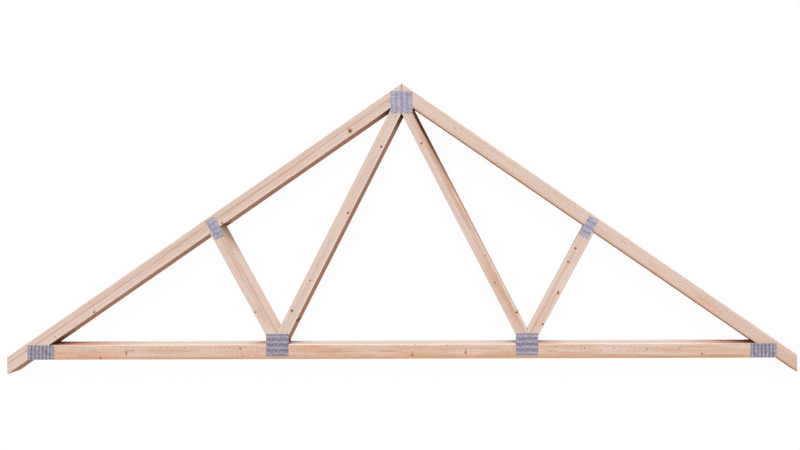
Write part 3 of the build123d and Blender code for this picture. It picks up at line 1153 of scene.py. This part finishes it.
def add_plate(node, kind):
    """One nail plate, with its slots and the roots of its teeth."""
    sizes = bpy.context.scene.truss_plate
    punch = PUNCHES[kind]
    points = node_points(node)
    corners = plan_outline(points)
    runs = Vector(punch.runs) if punch.runs else long_side(corners)
    runs = runs if runs.y >= 0 else -runs
    beside = Vector((-runs.y, runs.x))
    middle = sum(corners, Vector((0, 0))) / len(corners)
    length = extent(corners, runs)
    width = extent(corners, beside)
    low, high = points[:, 2].min(), points[:, 2].max()
    thick = high - low
    rows = slot_rows(length, width, punch)
    sheet, sheet_rings = sheet_faces(length, width, thick, rows, sizes.slot_width, sizes.rim)
    roots, root_rings = tooth_roots(rows, sizes.slot_width, thick)
    flip = -1 if node.endswith("back") else 1
    seat = high if flip < 0 else low
    placed = []
    for x, y, z in sheet + roots:
        place = middle + runs * x + beside * y
        placed.append((place.x, place.y, seat + flip * z))
    rings = sheet_rings + [tuple(len(sheet) + index for index in ring) for ring in root_rings]
    mesh = bpy.data.meshes.new(f"{node}_steel")
    mesh.from_pydata(placed, [], rings)
    marks = [0] * len(sheet_rings) + [1] * len(root_rings)
    mesh.polygons.foreach_set("material_index", marks)
    tidy_mesh(mesh, PLATE_SHARP_DEGREES)
    metals = [
        zinc(f"{node}_zinc", getattr(sizes, punch.zinc), getattr(sizes, punch.tooth)),
        tooth_metal(f"{node}_tooth", getattr(sizes, punch.tooth)),
    ]
    # Points in the columns of slots, where the zinc takes painted shade
    columns = np.array([slot for _, slots in rows for slot in slots])
    across = np.array([point[0] for point in sheet + roots])[:, None]
    in_column = (across >= columns[:, 0] - SAME_PLACE) & (across <= columns[:, 1] + SAME_PLACE)
    struck = mesh.attributes.new("struck", "FLOAT", "POINT")
    struck.data.foreach_set("value", in_column.any(axis=1).astype(float))
    add_piece(f"{node}_steel", mesh, metals, node)


def dress_timbers(*nodes):
    """Some timbers of the truss, dressed by an operator."""
    for node in nodes:
        add_timber(node)
    return {"FINISHED"}


def dress_plates(kind):
    """All nail plates of one kind, dressed by an operator."""
    for node in sorted(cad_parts):
        if node.startswith(f"{kind}_plate"):
            add_plate(node, kind)
    return {"FINISHED"}


class TRUSS_OT_top_chords(bpy.types.Operator):
    """Dress both top chords."""

    bl_idname = "truss.top_chords"
    bl_label = "Top chords"

    def execute(self, context):
        return dress_timbers("top_chord_left", "top_chord_right")


class TRUSS_OT_bottom_chord(bpy.types.Operator):
    """Dress the bottom chord."""

    bl_idname = "truss.bottom_chord"
    bl_label = "Bottom chord"

    def execute(self, context):
        return dress_timbers("bottom_chord")


class TRUSS_OT_inner_webs(bpy.types.Operator):
    """Dress the two long webs that meet at the ridge."""

    bl_idname = "truss.inner_webs"
    bl_label = "Inner webs"

    def execute(self, context):
        return dress_timbers("inner_web_left", "inner_web_right")


class TRUSS_OT_outer_webs(bpy.types.Operator):
    """Dress the two short webs."""

    bl_idname = "truss.outer_webs"
    bl_label = "Outer webs"

    def execute(self, context):
        return dress_timbers("outer_web_left", "outer_web_right")


class TRUSS_OT_apex_plates(bpy.types.Operator):
    """Dress the nail plates at the ridge."""

    bl_idname = "truss.apex_plates"
    bl_label = "Apex plates"

    def execute(self, context):
        return dress_plates("apex")


class TRUSS_OT_heel_plates(bpy.types.Operator):
    """Dress the nail plates at the heels."""

    bl_idname = "truss.heel_plates"
    bl_label = "Heel plates"

    def execute(self, context):
        return dress_plates("heel")


class TRUSS_OT_foot_plates(bpy.types.Operator):
    """Dress the nail plates where the webs stand on the bottom chord."""

    bl_idname = "truss.foot_plates"
    bl_label = "Foot plates"

    def execute(self, context):
        return dress_plates("foot")


class TRUSS_OT_mid_plates(bpy.types.Operator):
    """Dress the nail plates where the short webs meet the top chords."""

    bl_idname = "truss.mid_plates"
    bl_label = "Mid plates"

    def execute(self, context):
        return dress_plates("mid")


def seen_directly(tree):
    """1 for what the camera, or a mirror or glass in front of it, sees."""
    rays = tree.add("ShaderNodeLightPath", {}, {}, "Is Camera Ray")
    others = rays.math("MAXIMUM", rays.output("Is Glossy Ray"), rays.output("Is Transmission Ray"))
    return rays.math("MAXIMUM", rays, others)


# The floor's half width, and its level just under the lowest plates
FLOOR_REACH = 60.0
FLOOR_LEVEL = -0.2 * MM

# Width of the light that each lamp sends, in degrees, and the direction it comes from
KEY_SPREAD = 24
KEY_FROM = (0.04, 0.96, 0.28)
FRONT_SPREAD = 90
FRONT_FROM = (0, 0, 1)

# Width of the camera's sensor in mm
SENSOR_WIDTH = 36.0


def add_floor(stage):
    """A wide pale floor that keeps a faint shadow of the truss."""
    mesh = bpy.data.meshes.new("floor")
    ring = ((-1, -1), (1, -1), (1, 1), (-1, 1))
    corners = [(x * FLOOR_REACH, y * FLOOR_REACH, FLOOR_LEVEL) for x, y in ring]
    mesh.from_pydata(corners, [], [(0, 1, 2, 3)])
    material = bpy.data.materials.new("pale_floor")
    tree = Tree(material)
    white = tree.add("ShaderNodeEmission", {}, {"Color": (1, 1, 1, 1), "Strength": 1.0})
    paper = tree.add("ShaderNodeBsdfDiffuse", {}, {"Color": (1, 1, 1, 1)})
    bounce = tree.add("ShaderNodeBsdfDiffuse", {}, {"Color": (*stage.floor_bounce, 1)})
    seen = tree.add("ShaderNodeMixShader", {}, {0: stage.floor_white, 1: paper, 2: white})
    surface = tree.add("ShaderNodeMixShader", {}, {0: seen_directly(tree), 1: bounce, 2: seen})
    tree.add("ShaderNodeOutputMaterial", {}, {"Surface": surface})
    mesh.materials.append(material)
    floor = bpy.data.objects.new("floor", mesh)
    bpy.context.scene.collection.objects.link(floor)


def add_lamp(name, strength, spread_degrees, source):
    """A far lamp whose light comes from one direction, softened by its spread."""
    lamp = bpy.data.lights.new(name, "SUN")
    lamp.energy = strength
    lamp.angle = math.radians(spread_degrees)
    holder = bpy.data.objects.new(name, lamp)
    holder.rotation_euler = Vector(source).to_track_quat("Z", "Y").to_euler()
    bpy.context.scene.collection.objects.link(holder)


def add_light(stage):
    """A low soft lamp beyond the ridge, a broad one above the truss and an even sky."""
    add_lamp("key", stage.key, KEY_SPREAD, KEY_FROM)
    add_lamp("front", stage.front, FRONT_SPREAD, FRONT_FROM)
    world = bpy.data.worlds.new("studio")
    bpy.context.scene.world = world
    tree = Tree(world)
    sky = tree.add("ShaderNodeBackground", {}, {"Color": (1, 1, 1, 1), "Strength": stage.sky})
    white = tree.add("ShaderNodeBackground", {}, {"Color": (1, 1, 1, 1), "Strength": 1.0})
    surface = tree.add("ShaderNodeMixShader", {}, {0: seen_directly(tree), 1: sky, 2: white})
    tree.add("ShaderNodeOutputWorld", {}, {"Surface": surface})


def add_camera(stage):
    """A camera straight above the truss, with the photograph's framing."""
    lens = bpy.data.cameras.new("camera")
    lens.sensor_width = SENSOR_WIDTH
    lens.lens = stage.lens
    lens.shift_x = (PHOTO_WIDTH / 2 - EYE_PX[0]) / PHOTO_WIDTH
    lens.shift_y = (EYE_PX[1] - PHOTO_HEIGHT / 2) / PHOTO_WIDTH
    camera = bpy.data.objects.new("camera", lens)
    eye = photo_place(EYE_PX)
    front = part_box("bottom_chord")[1].z
    away = METRES_PER_PX * PHOTO_WIDTH * stage.lens / SENSOR_WIDTH
    camera.location = (eye.x, eye.y, front + away)
    camera.rotation_euler = (0, 0, math.radians(ROLL_DEGREES))
    bpy.context.scene.collection.objects.link(camera)
    bpy.context.scene.camera = camera


class TRUSS_OT_stage(bpy.types.Operator):
    """Set the floor, the light and the camera."""

    bl_idname = "truss.stage"
    bl_label = "Stage"

    def execute(self, context):
        stage = context.scene.truss_stage
        add_floor(stage)
        add_light(stage)
        add_camera(stage)
        context.scene.view_settings.view_transform = "Standard"
        return {"FINISHED"}


OPERATORS = (
    TRUSS_OT_stage,
    TRUSS_OT_top_chords,
    TRUSS_OT_bottom_chord,
    TRUSS_OT_inner_webs,
    TRUSS_OT_outer_webs,
    TRUSS_OT_apex_plates,
    TRUSS_OT_heel_plates,
    TRUSS_OT_foot_plates,
    TRUSS_OT_mid_plates,
)
GROUPS = {"truss_timber": TrussTimber, "truss_plate": TrussPlate, "truss_stage": TrussStage}


class TRUSS_PT_panel(bpy.types.Panel):
    """The truss's steps and settings in the sidebar."""

    bl_label = "Wooden roof truss"
    bl_idname = "TRUSS_PT_panel"
    bl_space_type = "VIEW_3D"
    bl_region_type = "UI"
    bl_category = "Truss"

    def draw(self, context):
        for operator in OPERATORS:
            self.layout.operator(operator.bl_idname)
        for group, kind in GROUPS.items():
            for setting in kind.__annotations__:
                self.layout.prop(getattr(context.scene, group), setting)


CLASSES = (*GROUPS.values(), *OPERATORS, TRUSS_PT_panel)


def register():
    for kind in CLASSES:
        bpy.utils.register_class(kind)
    for group, kind in GROUPS.items():
        setattr(bpy.types.Scene, group, bpy.props.PointerProperty(type=kind))


def unregister():
    for group in GROUPS:
        delattr(bpy.types.Scene, group)
    for kind in reversed(CLASSES):
        bpy.utils.unregister_class(kind)


def main():
    register()
    for operator in OPERATORS:
        family, name = operator.bl_idname.split(".")
        getattr(getattr(bpy.ops, family), name)()


if __name__ == "__main__":
    main()
